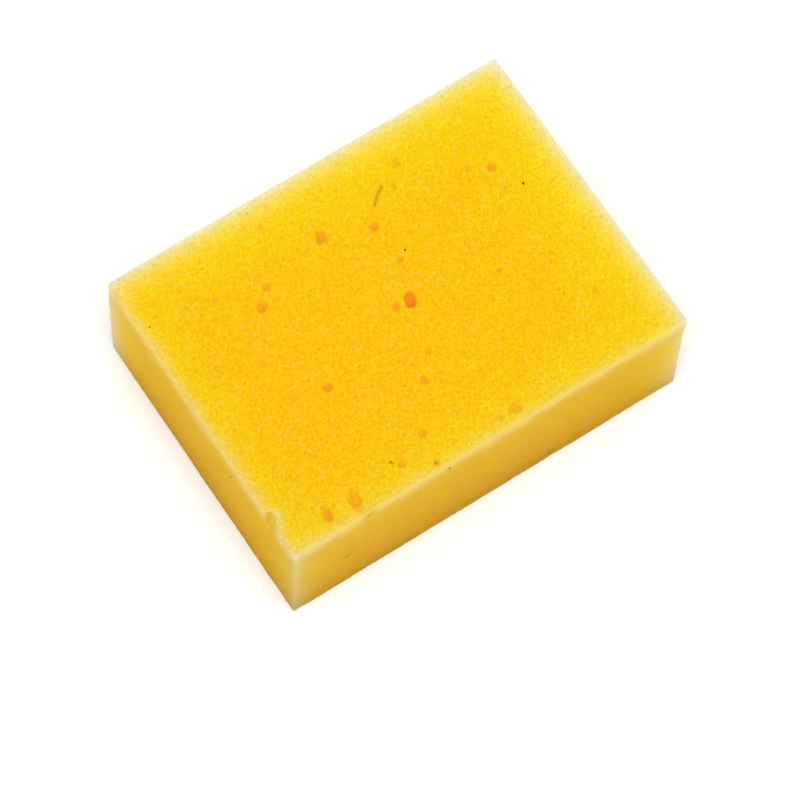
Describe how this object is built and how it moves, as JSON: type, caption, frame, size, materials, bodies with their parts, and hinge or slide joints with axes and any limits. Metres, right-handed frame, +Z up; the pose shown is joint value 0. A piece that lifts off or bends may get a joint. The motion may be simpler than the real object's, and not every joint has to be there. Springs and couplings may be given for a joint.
{
  "type": "grout sponge block",
  "caption": "Rectangular open-cell foam block with soft sawn edges and scattered surface pores, for washing grout off tiles.",
  "frame": {"origin": "middle of the underside, on the surface the block lies on", "axes": "+X along the block's length, +Y from the front long side to the back one, +Z up through its thickness"},
  "size_m": [0.16, 0.1186, 0.0555],
  "materials": {
    "yellow_foam": "matte"
  },
  "bodies": {
    "root": {"foam_block": "yellow_foam"}
  },
  "joints": []
}
